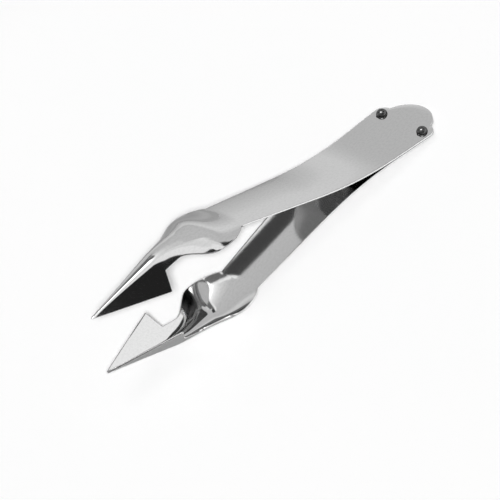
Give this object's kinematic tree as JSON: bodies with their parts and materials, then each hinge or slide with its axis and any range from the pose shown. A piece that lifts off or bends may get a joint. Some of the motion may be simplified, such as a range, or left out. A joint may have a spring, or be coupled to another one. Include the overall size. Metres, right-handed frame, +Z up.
{
  "type": "spring tweezers",
  "caption": "Sprung food tweezers: polished steel leaves riveted at the heel, with spoon-like bowls and barbed pointed beaks that close when the handles are squeezed.",
  "frame": {"origin": "under the middle of the tool, on the surface that it rests on with its rivet heads and the bowl of its lower leaf", "axes": "+X from the heel to the tips, +Z up, +Y to the left looking along +X; the plane between the leaves climbs about 10 degrees towards the tips"},
  "size_m": [0.1346, 0.0242, 0.0361],
  "materials": {
    "leaf_steel": "polished",
    "rivet_steel": "polished"
  },
  "bodies": {
    "heel": {"upper_leaf_heel": "leaf_steel", "lower_leaf_heel": "leaf_steel", "rivet_left": "rivet_steel", "rivet_right": "rivet_steel"},
    "upper_arm": {"upper_leaf_arm": "leaf_steel"},
    "lower_arm": {"lower_leaf_arm": "leaf_steel"}
  },
  "joints": [
    {"name": "upper_leaf_flex", "type": "hinge", "parent": "heel", "child": "upper_arm", "pos_m": [-0.0343, 0, 0.00747], "axis": [0, 1, 0], "range_deg": [0, 5.3], "stiffness_Nm_per_rad": 1.5},
    {"name": "lower_leaf_flex", "type": "hinge", "parent": "heel", "child": "lower_arm", "pos_m": [-0.03399, 0, 0.00572], "axis": [0, -1, 0], "range_deg": [0, 5.3], "stiffness_Nm_per_rad": 1.5}
  ]
}
